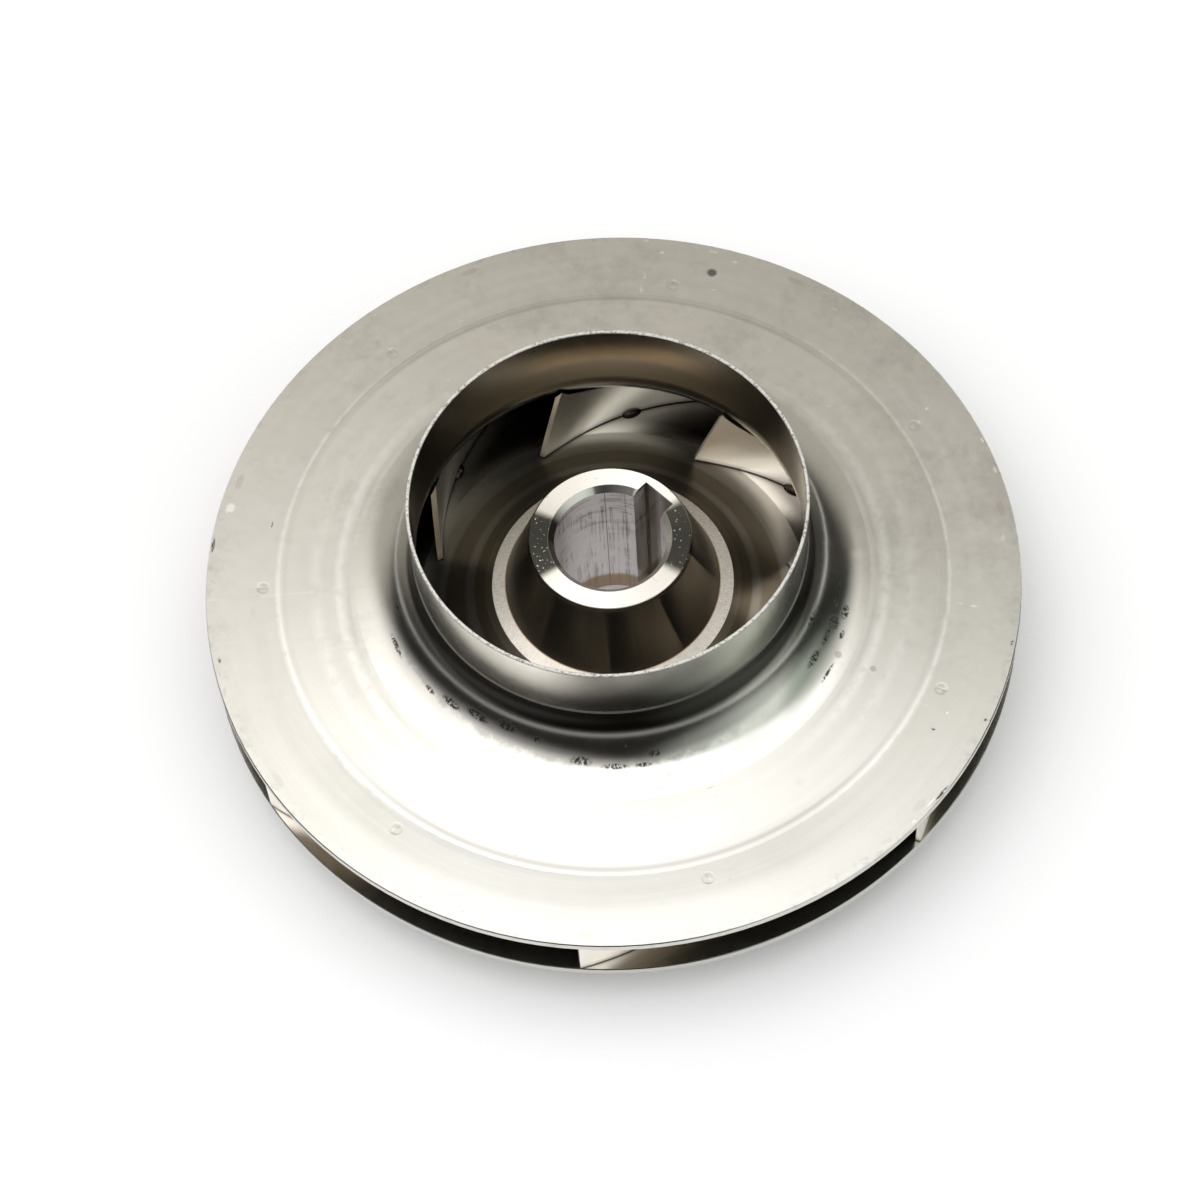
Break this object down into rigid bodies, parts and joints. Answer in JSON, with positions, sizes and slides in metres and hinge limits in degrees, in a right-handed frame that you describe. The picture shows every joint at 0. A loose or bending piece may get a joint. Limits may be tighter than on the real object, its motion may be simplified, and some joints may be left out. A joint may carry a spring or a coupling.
{
  "type": "pump impeller",
  "caption": "Closed radial pump impeller of welded sheet steel: two round plates, backward-swept blades, a turned eye neck and a keyed hub.",
  "frame": {"origin": "on the bore axis, in the plane of the hub's rear face", "axes": "+Z along the bore axis, from the rear face towards the eye; the keyway lies 41.8 degrees from +X towards +Y"},
  "size_m": [0.177, 0.177, 0.0579],
  "materials": {
    "front_plate": "drawn stainless sheet, satin, with forming rings, scuffs and weld dimples",
    "back_plate": "drawn stainless sheet, satin, with concentric forming rings",
    "blade": "smooth cold-rolled stainless sheet",
    "hub": "turned stainless steel, polished taper",
    "ground_weld": "weld ground flush, coarse grinding marks",
    "burnt_weld": "tack weld, burnt dark"
  },
  "bodies": {
    "root": {"front_shroud": "front_plate", "back_shroud": "back_plate", "hub": "hub", "hub_weld": "ground_weld", "vane_tack_welds": "burnt_weld", "vane_1": "blade", "vane_2": "blade", "vane_3": "blade", "vane_4": "blade", "vane_5": "blade", "vane_6": "blade", "vane_7": "blade"}
  },
  "joints": []
}
